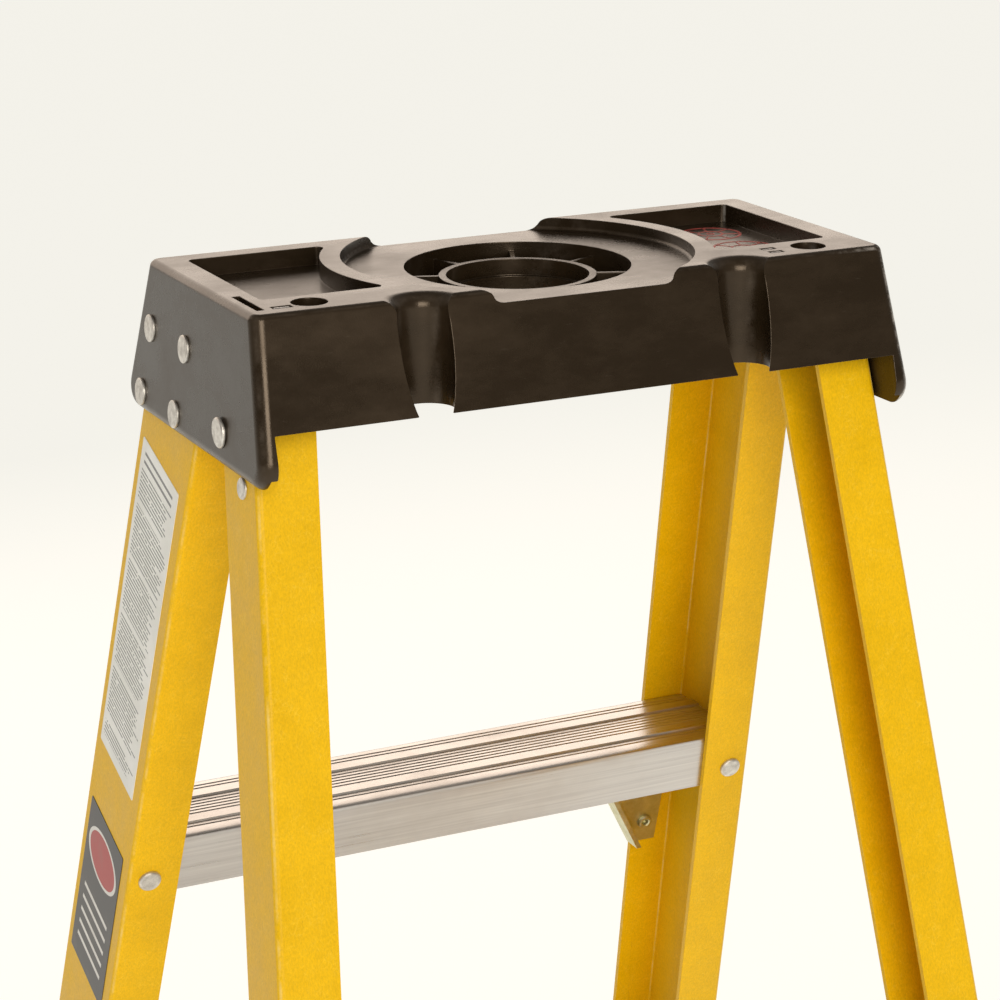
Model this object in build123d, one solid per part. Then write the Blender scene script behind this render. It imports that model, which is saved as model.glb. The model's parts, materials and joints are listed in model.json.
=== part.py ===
from build123d import *
import os
from math import atan, cos

# Fibreglass step ladder, 6 ft class: five steps under a moulded top cap.
# Millimetres, +Z up. The climbing side faces -Y, the folding rear frame +Y,
# and the origin is on the floor under the middle of the open ladder.
# Heights on the ladder are given as a drop h below the top of the cap.

# ---- driving dimensions --------------------------------------------------
H = 1752.0            # floor to the top of the cap
STEP_PITCH = 292.0    # tread to tread, measured upright
STEPS = 5
SPLAY = 0.080         # sideways lean of every rail, per mm of drop
RAIL_X = 149.2        # outer web of the front rails at the cap top
WALL = 3.2            # fibreglass wall
# front rails
F_FACE, F_LEAN = 61.0, 0.31      # front face ahead of the cap centre, lean
F_DEPTH, F_FLANGE = 74.4, 26.5
# rear rails
R_FACE, R_LEAN = 46.75, 0.2425
R_DEPTH, R_FLANGE, R_INSET = 41.7, 28.3, 0.6
# top cap
CAP_X, CAP_Y = 154.7, 67.1       # half size of the cap at its top
CAP_FRONT, CAP_REAR = 0.38, 0.294  # outward lean of its front and rear walls
CAP_SIDE, CAP_APRON = 73.0, 48.7   # drop of the side walls and the aprons
CAP_WALL, CAP_PLATE = 5.4, 4.0
RECESS_R, RECESS_D = 81.0, 6.0   # paint-can seat
WELL_R, RING_R, RING_D = 52.0, 32.8, 10.2
TRAY_D, TRAY_X, TRAY_ARC = 8.5, 140.0, 90.5
TRAY_FRONT, TRAY_REAR = 54.5, -39.0
GROOVE_X, GROOVE_Y, GROOVE_R = 78.0, 71.8, 12.25
# hinge of the rear frame
PIVOT_Y, PIVOT_H, PIVOT_R = 36.0, 56.7, 5.0
# feet
BOOT_T, BOOT_H, PAD_H = 2.5, 62.0, 12.0
# spreaders
SP_H, SP_OUT, SP_W, SP_T = 760.0, 12.0, 18.0, 3.0
ARM_F, ARM_R = 207.6, 180.0
EAR_X = 163.0

# the bounding box is centred on the origin, so the cap sits a little aft
Y0 = ((F_FACE + F_LEAN * H) - (R_FACE + R_LEAN * H)) / 2


def yf(h, d=0.0):
    """Y of the front rails' front face at drop h, plus d towards the rear."""
    return Y0 - (F_FACE + F_LEAN * h) + d


def yr(h, d=0.0):
    """Y of the rear rails' rear face at drop h, less d towards the front."""
    return Y0 + (R_FACE + R_LEAN * h) - d


def xw(h, inset=0.0):
    """X of a rail's outer web at drop h."""
    return RAIL_X + SPLAY * h - inset


def mirror_x(s):
    return mirror(s, Plane.YZ)


def keep(shape, name):
    shape.label = name
    export_step(shape, "parts/" + name + ".step")


def channel(x_out, y0, y1, flange, wall=WALL, grow=0.0, r=3.0):
    """Channel section on +X, web outside, opening inward, in the XY plane."""
    lo, hi = min(y0, y1) - grow, max(y0, y1) + grow
    w = flange + grow
    outer = Pos(x_out + grow - w / 2, (lo + hi) / 2) * Rectangle(w, hi - lo)
    webs = outer.vertices().sort_by(Axis.X)[-2:]
    outer = fillet(webs, r)
    iw, ih = w - wall, hi - lo - 2 * wall
    inner = Pos(x_out + grow - wall - iw / 2 - 1, (lo + hi) / 2) * Rectangle(iw + 2, ih)
    webs = inner.vertices().sort_by(Axis.X)[-2:]
    inner = fillet(webs, 1.5 if r > 1.5 else 0.5)
    return outer - inner


def slope_run(section, h_top, h_bot, lean):
    """Extrude a horizontal section from h_top down to h_bot along a rail."""
    dz = h_bot - h_top
    v = Vector(SPLAY * dz, lean * dz, -dz)
    s = Pos(0, 0, H - h_top) * section
    return extrude(s, amount=v.length, dir=(v.X, v.Y, v.Z))


def bar_x(points, x0, x1):
    """Solid with a side profile (y, z) run from x0 to x1."""
    prof = make_face(Polyline(*[(y, z) for y, z in points], close=True))
    pl = Plane(origin=(x0, 0, 0), x_dir=(0, 1, 0), z_dir=(1, 0, 0))
    return extrude(pl * prof, amount=x1 - x0)


def rivet(at, out, grip, shank=3.1, head=6.3, head_t=1.5, tail=4.7, tail_t=2.0):
    """Solid rivet: domed head at `at`, pointing along `out`; grip inward."""
    pl = Plane(origin=at, z_dir=out)
    dome = Cylinder(head, head_t, align=(Align.CENTER, Align.CENTER, Align.MIN))
    dome = fillet(dome.edges().sort_by(Axis.Z)[-1], head_t * 0.85)
    body = Pos(0, 0, -grip) * Cylinder(shank, grip, align=(Align.CENTER, Align.CENTER, Align.MIN))
    tl = Pos(0, 0, -grip - tail_t) * Cylinder(tail, tail_t, align=(Align.CENTER, Align.CENTER, Align.MIN))
    tl = fillet(tl.edges().sort_by(Axis.Z)[0], tail_t * 0.5)
    return pl * (dome + body + tl)


def bore(at, out, deep, r=3.1, lift=3.0):
    pl = Plane(origin=at, z_dir=out)
    return pl * (Pos(0, 0, -deep) * Cylinder(r, deep + lift, align=(Align.CENTER, Align.CENTER, Align.MIN)))


def group(items):
    return Compound(children=[i for i in items]) if len(items) > 1 else items[0]


def both(items):
    return items + [mirror_x(i) for i in items]


SIDE_N = Vector(1, 0, SPLAY).normalized()          # outward on a +X web
FRONT_N = Vector(0, -1, F_LEAN).normalized()       # outward on a front flange
FREAR_N = Vector(0, 1, -F_LEAN).normalized()       # outward on its rear flange
REAR_N = Vector(0, 1, R_LEAN).normalized()         # outward on a rear face
RFRONT_N = Vector(0, -1, -R_LEAN).normalized()     # outward on its front face
# thickness square to a leaning wall, per mm measured level
C_SIDE, C_FRONT, C_REAR = cos(atan(SPLAY)), cos(atan(F_LEAN)), cos(atan(R_LEAN))

os.makedirs("parts", exist_ok=True)

# ---- top cap -------------------------------------------------------------


def cap_block(side, front, rear, top, low, corner):
    """Flared block: front view times side view, with rounded low corners."""
    fx = make_face(Polyline((-side - SPLAY * top, -top), (-side - SPLAY * low, -low),
                            (side + SPLAY * low, -low), (side + SPLAY * top, -top), close=True))
    a = extrude(Plane.XZ * fx, amount=200, both=True)
    sy = make_face(Polyline((-front - CAP_FRONT * top, -top), (-front - CAP_FRONT * low, -low),
                            (rear + CAP_REAR * low, -low), (rear + CAP_REAR * top, -top), close=True))
    if corner:
        sy = fillet(sy.vertices().sort_by(Axis.Y)[:2], corner)
    b = extrude(Plane.YZ * sy, amount=300, both=True)
    return a & b


cap = cap_block(CAP_X, CAP_Y, CAP_Y, 0, CAP_SIDE, 11.0)
upright = [e for e in cap.edges() if abs(e.center().X) > 150 and abs(e.center().Y) > 60
           and e.bounding_box().size.Z > 40]
cap = fillet(upright, 6.0)
rim = [e for e in cap.edges() if abs(e.center().Z) < 0.01 and e.bounding_box().size.Z < 0.01]
cap = fillet(rim, 3.5)

# the cavity under the plate, with pans left for the trays, seat and grooves
inner = cap_block(CAP_X - CAP_WALL, CAP_Y - 3.4, CAP_Y - 3.4, CAP_PLATE, CAP_SIDE + 5, 0)


def tray(grow, low, high):
    """Outline of a tool tray on +X: a rectangle bitten by the can seat."""
    w = TRAY_X + grow
    d = TRAY_FRONT - TRAY_REAR + 2 * grow
    cy = -(TRAY_FRONT + TRAY_REAR) / 2
    box = Pos(w / 2, cy, (low + high) / 2) * Box(w, d, high - low)
    post = Pos(0, 0, (low + high) / 2) * Cylinder(TRAY_ARC - grow, high - low + 2)
    return (box - post).solids().sort_by(Axis.X)[-1]


pan_t = tray(3.0, -TRAY_D - 3.0, 0)
inner -= pan_t
inner -= mirror_x(pan_t)
inner -= Pos(0, 0, -5) * Cylinder(RECESS_R + 3.0, 2 * (RECESS_D + 3.5) - 10)
inner -= Pos(0, 0, -40) * (Cylinder(WELL_R + 3.0, 80) - Cylinder(WELL_R - 0.5, 80)) & Pos(0, 0, -23) * Box(400, 400, 46)
for s in (-1, 1):
    inner -= Pos(s * GROOVE_X, GROOVE_Y, -24) * Cylinder(GROOVE_R + 3.2, 49.4)
cap -= inner
# aprons stop above the side walls, leaving a rounded return at each corner
for s, lean in ((1, CAP_REAR), (-1, CAP_FRONT)):
    cap -= Pos(0, s * 95, -CAP_APRON - 20) * Box(2 * (CAP_X + SPLAY * CAP_APRON - 7), 70, 40)

# stiffening ribs under the plate
for x in (-106, -62, 62, 106):
    rib = Pos(x, 0, -18) * Box(2.4, 128, 28)
    for s in (-1, 1):
        rib -= Pos(s * GROOVE_X, GROOVE_Y, -24) * Cylinder(GROOVE_R + 2, 80)
    cap += rib & cap_block(CAP_X - 2, CAP_Y - 2, CAP_Y - 2, 3.0, CAP_SIDE, 0)

# can seat, well, trays
seat = Pos(0, 0, -RECESS_D / 2) * Cylinder(RECESS_R, RECESS_D)
seat = fillet(seat.edges().sort_by(Axis.Z)[0], 2.0)
cap -= seat
cap -= Pos(0, 0, -40) * Cylinder(WELL_R, 90)
t = tray(0, -TRAY_D, 2)
t = fillet(t.edges().filter_by(Axis.Z), 3.0)
cap -= t
cap -= mirror_x(t)
# screwdriver and pipe grooves in the rear wall, with a bell mouth
BELL_R = 6.5
bell_face = make_face(Polyline((0, 1), (GROOVE_R + BELL_R, 1), (GROOVE_R + BELL_R, 0)) +
                      RadiusArc((GROOVE_R + BELL_R, 0), (GROOVE_R, -BELL_R), -BELL_R) +
                      Polyline((GROOVE_R, -BELL_R), (0, -BELL_R), (0, 1)))
bell = revolve(Plane.XZ * bell_face, Axis.Z)
for s in (-1, 1):
    cap -= Pos(s * GROOVE_X, GROOVE_Y, -30) * Cylinder(GROOVE_R, 70)
    cap -= Pos(s * GROOVE_X, GROOVE_Y, 0) * bell
# tool holes and slots in the rear rim
for s in (-1, 1):
    cap -= Pos(s * 123, 52, -6) * Cylinder(8.0, 14)
cap -= Pos(147.2, 43, -3) * Box(3.4, 30, 12)
cap -= Pos(137, 56, -3) * Box(9, 4, 12)
cap -= Pos(-103.5, 49, -3) * Box(7, 3.4, 12)
cap -= Pos(-103.5, 56.5, -3) * Box(7, 3.4, 12)
# ring hung in the well on eight spokes, with an inner lip
ring = Pos(0, 0, -26) * (Cylinder(RING_R + 3.5, 2 * (26 - RING_D)) - Cylinder(RING_R, 60))
ring += Pos(0, 0, -30) * (Cylinder(RING_R + 1, 24) - Cylinder(RING_R - 2.0, 26))
for k in range(8):
    a = 22.5 + 45 * k
    web = Rot(0, 0, a) * (Pos((RING_R + WELL_R) / 2 + 1.7, 0, -24) * Box(WELL_R - RING_R - 0.6, 2.4, 27))
    ring += web
cap += ring
cap = Pos(0, Y0, H) * cap

# ---- rails ---------------------------------------------------------------
F_TOP, R_TOP = 15.0, 36.0
FOOT = H - PAD_H
front_rail = slope_run(channel(xw(F_TOP), yf(F_TOP), yf(F_TOP, F_DEPTH), F_FLANGE), F_TOP, FOOT, -F_LEAN)
rear_rail = slope_run(channel(xw(R_TOP, R_INSET), yr(R_TOP), yr(R_TOP, R_DEPTH), R_FLANGE), R_TOP, FOOT, R_LEAN)

# ---- cap rivets and hinge ------------------------------------------------
CAP_RIVETS = [(Y0 - 59.0, 30.7), (Y0 - 13.0, 30.7), (Y0 - 69.5, 62.5), (Y0 - 23.5, 62.5)]
cap_riv = []
for y, h in CAP_RIVETS:
    at = Vector(CAP_X + SPLAY * h, y, H - h)
    cap_riv.append(rivet(at, SIDE_N, (CAP_X - RAIL_X + WALL) * C_SIDE, tail=3.5))
    b = bore(at, SIDE_N, 12)
    front_rail -= b
    cap -= b
    cap -= mirror_x(b)

# the rear rails turn on steel pins square to X, through the cap's side walls
pv = Vector(0, Y0 + PIVOT_Y, H - PIVOT_H)
X_CAP, X_RAIL = CAP_X + SPLAY * PIVOT_H, xw(PIVOT_H, R_INSET)
PLATE_T = 2.5
x_in = X_RAIL - WALL - PLATE_T - 0.9
pin = Pos(x_in, pv.Y, pv.Z) * Rot(0, 90, 0) * Cylinder(PIVOT_R, X_CAP - x_in + 0.6, align=(Align.CENTER, Align.CENTER, Align.MIN))
head = Pos(X_CAP + 0.6, pv.Y, pv.Z) * Rot(0, 90, 0) * Cylinder(6.8, 1.4, align=(Align.CENTER, Align.CENTER, Align.MIN))
head = fillet(head.edges().sort_by(Axis.X)[-1], 1.0)
tail = Pos(x_in - 2.4, pv.Y, pv.Z) * Rot(0, 90, 0) * Cylinder(7.5, 2.4, align=(Align.CENTER, Align.CENTER, Align.MIN))
pivot_pin = pin + head + tail
pin_bore = Pos(X_CAP - 20, pv.Y, pv.Z) * Rot(0, 90, 0) * Cylinder(PIVOT_R, 50)
run_bore = Pos(X_CAP - 20, pv.Y, pv.Z) * Rot(0, 90, 0) * Cylinder(PIVOT_R + 0.06, 80)
cap -= pin_bore
cap -= mirror_x(pin_bore)
head_seat = Pos(X_CAP + 2.4, pv.Y, pv.Z) * Rot(0, 90, 0) * Cylinder(7.6, 3.6)
cap -= head_seat
cap -= mirror_x(head_seat)
rear_rail -= run_bore

# doubler plate inside each rear rail at the hinge, held by one more rivet
P_LOW = 98.0
plate_sec = Pos(xw(R_TOP + 4, R_INSET) - WALL - PLATE_T / 2, (yr(R_TOP + 4, WALL + 1.6) + yr(R_TOP + 4, R_DEPTH - WALL - 1.6)) / 2) * \
    Rectangle(PLATE_T, R_DEPTH - 2 * WALL - 3.2)
plate = slope_run(plate_sec, R_TOP + 4, P_LOW, R_LEAN)
plate -= run_bore
r_at = Vector(xw(79.0, R_INSET), Y0 + 49.0, H - 79.0)
rear_riv = [rivet(r_at, SIDE_N, (WALL + PLATE_T) * C_SIDE, head=4.9, head_t=1.2)]
b = bore(r_at, SIDE_N, 8, lift=1)
rear_rail -= b
plate -= b

# ---- steps, their rivets and knee braces ---------------------------------
A_T, A_H, T_T = 2.2, 31.0, 2.4       # apron, height below tread, tread
steps, step_riv, braces, brace_riv = [], [], [], []
for k in range(STEPS):
    h0 = H - STEP_PITCH * (k + 1)
    z0 = H - h0
    f = lambda d, h: (yf(h0 + h, d), z0 - h)
    a, b = WALL, F_DEPTH - WALL
    prof = [f(a, 3.0), f(a + 1.2, 0.8), f(a + 3.6, 0)]
    # two raised treads and fine grooves between them
    x = 7.0
    while x < b - a - 9:
        up = 1.0 if (13 < x < 24) or (44 < x < 55) else 0.0
        if up:
            prof += [f(a + x, 0), f(a + x + 0.5, -1.0), f(a + x + 8.0, -1.0), f(a + x + 8.5, 0)]
            x += 12.0
        else:
            prof += [f(a + x, 0), f(a + x + 0.4, 0.35), f(a + x + 1.2, 0.35), f(a + x + 1.6, 0)]
            x += 3.6
    prof += [f(b - 3.6, 0), f(b - 1.2, 0.8), f(b, 3.0)]
    prof += [f(b, A_H), f(b - 6.0, A_H), f(b - 6.0, A_H - 1.8), f(b - A_T, A_H - 1.8), f(b - A_T, T_T + 1.4),
             f(a + A_T, T_T + 1.4), f(a + A_T, A_H), f(a, A_H)]
    half = xw(h0) - WALL - 1.7
    step = bar_x(prof, -half, half)
    hr = h0 + 20.5
    for d, n, g in ((F_DEPTH, FREAR_N, 1), (0.0, FRONT_N, 1)):
        at = Vector(xw(hr) - 11.0, yf(hr, d), H - hr)
        step_riv.append(rivet(at, n, (WALL + A_T) * C_FRONT, head=5.8, head_t=2.0, tail=4.2, tail_t=1.6))
        c = bore(at, n, 12, lift=2)
        front_rail -= c
        step -= c
        step -= mirror_x(c)
    # knee brace: gusset behind the front flange, jogged inside the apron
    x_w = xw(h0) - WALL - 0.8

    def sheared(face_pts, d0, d1):
        """Prism between two planes parallel to the leaning flange."""
        lo = Polyline(*[(px, yf(ph, d0), H - ph) for px, ph in face_pts], close=True)
        fc = make_face(lo)
        return extrude(fc, amount=d1 - d0, dir=(0, 1, 0))

    lowp = [(x_w - 1, h0 + 33.5), (x_w - 54, h0 + 33.5), (x_w - 17, h0 + 98), (x_w - 1, h0 + 98)]
    upp = [(x_w - 18, h0 + 8), (x_w - 60, h0 + 8), (x_w - 54, h0 + 35.5), (x_w - 18, h0 + 35.5)]
    lipp = [(x_w - 54, h0 + 33.5), (x_w - 51, h0 + 33.5), (x_w - 14, h0 + 98), (x_w - 17, h0 + 98)]
    jogp = [(x_w - 18, h0 + 33.5), (x_w - 54, h0 + 33.5), (x_w - 53, h0 + 35.5), (x_w - 18, h0 + 35.5)]
    brace = sheared(lowp, WALL, WALL + 2.2) + sheared(upp, WALL + A_T, WALL + A_T + 2.2)
    brace += sheared(jogp, WALL, WALL + A_T + 2.2)
    brace += sheared(lipp, WALL, WALL + 12.0)
    hb = h0 + 83.0
    at = Vector(x_w - 9.5, yf(hb), H - hb)
    brace_riv.append(rivet(at, FRONT_N, (WALL + 2.2) * C_FRONT, shank=2.6, head=5.0, tail=4.2, tail_t=3.0))
    c = bore(at, FRONT_N, 9, r=2.6, lift=2)
    front_rail -= c
    brace -= c
    # the upper rivet of the brace joins it to the step's front apron
    at = Vector(x_w - 40.0, yf(h0 + 20.5, WALL), H - h0 - 20.5)
    brace_riv.append(rivet(at, FRONT_N, (A_T + 2.2) * C_FRONT, shank=2.6, head=4.8, head_t=1.3, tail=4.0, tail_t=1.6))
    c = bore(at, FRONT_N, 8, r=2.6, lift=2)
    step -= c
    step -= mirror_x(c)
    brace -= c
    steps.append(step)
    braces.append(brace)

# ---- rear horizontals ----------------------------------------------------
R_BARS = [420.0, 880.0, 1240.0, 1590.0]
bars, bar_riv = [], []
B_H, B_T = 30.0, 2.0
for h0 in R_BARS:
    a, b = WALL, R_DEPTH - WALL
    g = lambda d, h: (yr(h0 + h, d), H - h0 - h)
    prof = [g(a, 0), g(b, 0), g(b, B_H), g(b - B_T, B_H), g(b - B_T, B_T), g(a + B_T, B_T), g(a + B_T, B_H), g(a, B_H)]
    half = xw(h0, R_INSET) - WALL - 1.7
    bar = bar_x(prof, -half, half)
    hr = h0 + 16.0
    for d, n in ((0.0, REAR_N), (R_DEPTH, RFRONT_N)):
        at = Vector(xw(hr, R_INSET) - 13.0, yr(hr, d), H - hr)
        bar_riv.append(rivet(at, n, (WALL + B_T) * C_REAR, head=5.4, head_t=1.8, tail=4.2, tail_t=1.6))
        c = bore(at, n, 9, lift=2)
        rear_rail -= c
        bar -= c
        bar -= mirror_x(c)
    bars.append(bar)

# ---- feet: pressed boots on rubber pads ----------------------------------


def boot_and_pad(y_at, depth, flange, inset, lean):
    """Boot wraps web and flanges outside; the pad stands on the floor."""
    def sec(h, grow, solid):
        ya, yb = y_at(h), y_at(h, depth)
        if solid:
            lo, hi = min(ya, yb) - grow, max(ya, yb) + grow
            w = flange + grow
            return Pos(xw(h, inset) + grow - w / 2, (lo + hi) / 2) * Rectangle(w, hi - lo)
        return channel(xw(h, inset), ya, yb, flange, wall=BOOT_T, grow=BOOT_T, r=4.5)
    top = FOOT - BOOT_H
    shoe = slope_run(sec(top, 0, False), top, FOOT, lean)
    # the channel section's inner fillets are square where it meets the rail
    rail_fill = slope_run(channel_outline(xw(top, inset), y_at(top), y_at(top, depth), flange), top, FOOT, lean)
    shoe -= rail_fill
    sole_face = sec(FOOT, BOOT_T, True)
    sole_face = fillet(sole_face.vertices().sort_by(Axis.X)[-2:], 4.5)
    sole = slope_run(sole_face, FOOT, FOOT + 3.0, lean)
    shoe += sole
    pad_face = sec(FOOT + 3.0, BOOT_T, True)
    pad_face = fillet(pad_face.vertices(), 3.0)
    pad = slope_run(pad_face, FOOT + 3.0, H, lean)
    # tread grooves across the pad
    yc = (y_at(H) + y_at(H, depth)) / 2
    n = int((depth + 2 * BOOT_T) // 9)
    for i in range(n):
        pad -= Pos(xw(H, inset) - flange / 2, yc + (i - (n - 1) / 2) * 9.0, 1.0) * Box(flange + 30, 3.0, 2.0)
    return shoe, pad


def channel_outline(x_out, y0, y1, flange, r=3.0):
    lo, hi = min(y0, y1), max(y0, y1)
    o = Pos(x_out - flange / 2 - 1, (lo + hi) / 2) * Rectangle(flange + 2, hi - lo)
    return fillet(o.vertices().sort_by(Axis.X)[-2:], r)


front_boot, front_pad = boot_and_pad(yf, F_DEPTH, F_FLANGE, 0.0, -F_LEAN)
rear_boot, rear_pad = boot_and_pad(lambda h, d=0.0: yr(h, d), R_DEPTH, R_FLANGE, R_INSET, R_LEAN)
foot_riv_f, foot_riv_r = [], []
for dy in (-0.26, 0.26):
    h = FOOT - 36.0
    at = Vector(xw(h) + BOOT_T, yf(h, F_DEPTH * (0.5 + dy)), H - h)
    foot_riv_f.append(rivet(at, SIDE_N, (WALL + BOOT_T) * C_SIDE, head_t=1.8))
    c = bore(at, SIDE_N, 9, lift=2)
    front_rail -= c
    front_boot -= c
for hh in (FOOT - 20.0, FOOT - 48.0):
    at = Vector(xw(hh, R_INSET) + BOOT_T, yr(hh, R_DEPTH / 2), H - hh)
    foot_riv_r.append(rivet(at, SIDE_N, (WALL + BOOT_T) * C_SIDE, head_t=1.8))
    c = bore(at, SIDE_N, 9, lift=2)
    rear_rail -= c
    rear_boot -= c

# ---- spreaders -----------------------------------------------------------
# Pivot points of the two arms on each side, at the same height when open.
A_Y = yf(SP_H, F_DEPTH + SP_OUT)
B_Y = yr(SP_H, R_DEPTH + SP_OUT)
SP_Z = H - SP_H


def bracket(y_face, n_sgn, lean, inset, y_pin):
    """Angle bracket: pad on the flange face, ear inboard carrying the pin."""
    def pts(h0, h1, x0, x1):
        return [(x0, h0), (x1, h0), (x1, h1), (x0, h1)]
    x1 = xw(SP_H, inset) - 5.0
    p = [(px, ph) for px, ph in pts(SP_H - 20, SP_H + 20, EAR_X, x1)]
    fc = make_face(Polyline(*[(px, y_face(ph), H - ph) for px, ph in p], close=True))
    pad = extrude(fc, amount=2.5, dir=(0, n_sgn, 0))
    e = [(y_face(SP_H - 20), H - SP_H + 20), (y_face(SP_H + 20), H - SP_H - 20),
         (y_pin + n_sgn * 3, H - SP_H - 10), (y_pin + n_sgn * 8, H - SP_H - 4),
         (y_pin + n_sgn * 8, H - SP_H + 4), (y_pin + n_sgn * 3, H - SP_H + 10)]
    ear = bar_x(e, EAR_X - 2.5, EAR_X)
    return pad + ear


fb = bracket(lambda h: yf(h, F_DEPTH), 1, -F_LEAN, 0.0, A_Y)
rb = bracket(lambda h: yr(h, R_DEPTH), -1, R_LEAN, R_INSET, B_Y)
sp_riv_f, sp_riv_r = [], []
for hh in (SP_H - 12, SP_H + 12):
    at = Vector(xw(hh) - 14.0, yf(hh, F_DEPTH) + 2.5, H - hh)
    sp_riv_f.append(rivet(at, FREAR_N, (WALL + 2.5) * C_FRONT, head=5.4, head_t=1.6, tail=4.4))
    c = bore(at, FREAR_N, 9, lift=2)
    front_rail -= c
    fb -= c
    at = Vector(xw(hh, R_INSET) - 14.0, yr(hh, R_DEPTH) - 2.5, H - hh)
    sp_riv_r.append(rivet(at, RFRONT_N, (WALL + 2.5) * C_REAR, head=5.4, head_t=1.6, tail=4.4))
    c = bore(at, RFRONT_N, 9, lift=2)
    rear_rail -= c
    rb -= c

PIN_R = 3.5
X_A1 = EAR_X - 2.5 - 0.3            # outboard face of the front arm
X_B1 = X_A1 - SP_T - 0.6            # outboard face of the rear arm


def pin_x(y, z, x_lo, x_hi, r=PIN_R):
    return Pos(x_lo, y, z) * Rot(0, 90, 0) * Cylinder(r, x_hi - x_lo, align=(Align.CENTER, Align.CENTER, Align.MIN))


def arm(y0, y1, x_hi):
    """Flat bar with rounded ends, turning at (y0), its far end at (y1)."""
    s = 1 if y1 > y0 else -1
    x_lo = x_hi - SP_T
    z = SP_Z
    w = SP_W / 2
    body = bar_x([(y0, z - w), (y1, z - w), (y1, z + w), (y0, z + w)], x_lo, x_hi)
    body += pin_x(y0, z, x_lo, x_hi, w)
    body += pin_x(y1, z, x_lo, x_hi, w)
    # rolled stiffening groove along the middle of the bar
    groove = bar_x([(y0 + s * 20, z - 2.5), (y1 - s * 26, z - 2.5), (y1 - s * 26, z + 2.5), (y0 + s * 20, z + 2.5)], x_hi - 0.9, x_hi + 1)
    body -= groove
    body -= pin_x(y0, z, x_lo - 5, x_hi + 5, PIN_R + 0.06)
    return body


arm_f = arm(A_Y, A_Y + ARM_F, X_A1)
arm_r = arm(B_Y, B_Y - ARM_R, X_B1)
# pins: each is fixed in its ear and runs through the arm
pin_f = pin_x(A_Y, SP_Z, X_A1 - SP_T - 0.3, EAR_X + 0.0) + pin_x(A_Y, SP_Z, EAR_X, EAR_X + 1.8, 6.0) + \
    pin_x(A_Y, SP_Z, X_A1 - SP_T - 2.1, X_A1 - SP_T - 0.3, 6.0)
pin_r = pin_x(B_Y, SP_Z, X_B1 - SP_T - 0.3, EAR_X) + pin_x(B_Y, SP_Z, EAR_X, EAR_X + 1.8, 6.0) + \
    pin_x(B_Y, SP_Z, X_B1 - SP_T - 2.1, X_B1 - SP_T - 0.3, 6.0)
fb -= pin_x(A_Y, SP_Z, EAR_X - 10, EAR_X + 10)
rb -= pin_x(B_Y, SP_Z, EAR_X - 10, EAR_X + 10)
# spacer on the rear pin, so the rear arm runs beside the front one
spacer = pin_x(B_Y, SP_Z, X_B1 + 0.3, EAR_X - 2.5, 6.0) - pin_x(B_Y, SP_Z, X_B1 - 5, EAR_X + 5)
pin_r += spacer
# middle joint: each arm carries its own half of the rivet
J_Y = A_Y + ARM_F
mid_f = pin_x(J_Y, SP_Z, X_A1, X_A1 + 1.8, 6.0)
mid_r = pin_x(B_Y - ARM_R, SP_Z, X_B1 - SP_T - 1.8, X_B1 - SP_T, 6.0)
arm_f += mid_f
arm_r += mid_r

# ---- printed plates on the +X front rail ---------------------------------


def plate_on_web(h0, d0, width, length, t=0.3):
    """Thin plate on the outer web, square to the rail: its upper front corner
    is at drop h0, d0 behind the rail's front face."""
    k = (1 + F_LEAN ** 2) ** 0.5
    pts = []
    for across, along in ((0, 0), (width, 0), (width, length), (0, length)):
        h = h0 + (along + across * F_LEAN) / k
        y = yf(h0, d0) + (across - along * F_LEAN) / k
        pts.append((xw(h), y, H - h))
    fc = make_face(Polyline(*pts, close=True))
    return extrude(fc, amount=t, dir=(SIDE_N.X, SIDE_N.Y, SIDE_N.Z))


label_long = plate_on_web(86.4, 8.5, 52.3, 174.6)
label_short = plate_on_web(287.0, 8.5, 52.3, 96.0)

# ---- write ---------------------------------------------------------------
keep(cap, "top_cap")
keep(group(both(cap_riv)), "cap_rivets")
keep(group(both([pivot_pin])), "hinge_pins")
for name, s in (("front_rail", front_rail), ("rear_rail", rear_rail), ("hinge_plate", plate),
                ("front_boot", front_boot), ("front_pad", front_pad),
                ("rear_boot", rear_boot), ("rear_pad", rear_pad),
                ("spreader_bracket_front", fb), ("spreader_bracket_rear", rb),
                ("spreader_arm_front", arm_f), ("spreader_arm_rear", arm_r)):
    keep(s, name + "_right")
    keep(mirror_x(s), name + "_left")
for k, s in enumerate(steps):
    keep(s, "step_%d" % (STEPS - k))
    keep(group(both([braces[k]])), "knee_braces_%d" % (STEPS - k))
keep(group(both(step_riv)), "step_rivets")
keep(group(both(brace_riv)), "knee_brace_rivets")
for k, s in enumerate(bars):
    keep(s, "rear_bar_%d" % (len(bars) - k))
keep(group(both(bar_riv)), "rear_bar_rivets")
keep(group(both(rear_riv)), "hinge_plate_rivets")
keep(group(both(foot_riv_f)), "front_foot_rivets")
keep(group(both(foot_riv_r)), "rear_foot_rivets")
keep(group(both(sp_riv_f)), "spreader_rivets_front")
keep(group(both(sp_riv_r)), "spreader_rivets_rear")
keep(group(both([pin_f])), "spreader_pins_front")
keep(group(both([pin_r])), "spreader_pins_rear")
keep(label_long, "label_long")
keep(label_short, "label_short")
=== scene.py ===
# %% [markdown]
# # A fibreglass step ladder
# The ladder has two frames. The front frame is a pair of yellow fibreglass
# channels with five aluminium steps between them, and a moulded plastic cap
# on top. The rear frame hangs from two pins in that cap and folds flat.
# This lesson starts from the measured parts, softens their edges, models the
# small hardware by hand, and then gives every surface its own finish.

# %% Load the measured parts
import bpy
import json
from math import radians, sin, cos, pi, atan
from mathutils import Matrix, Vector


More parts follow.
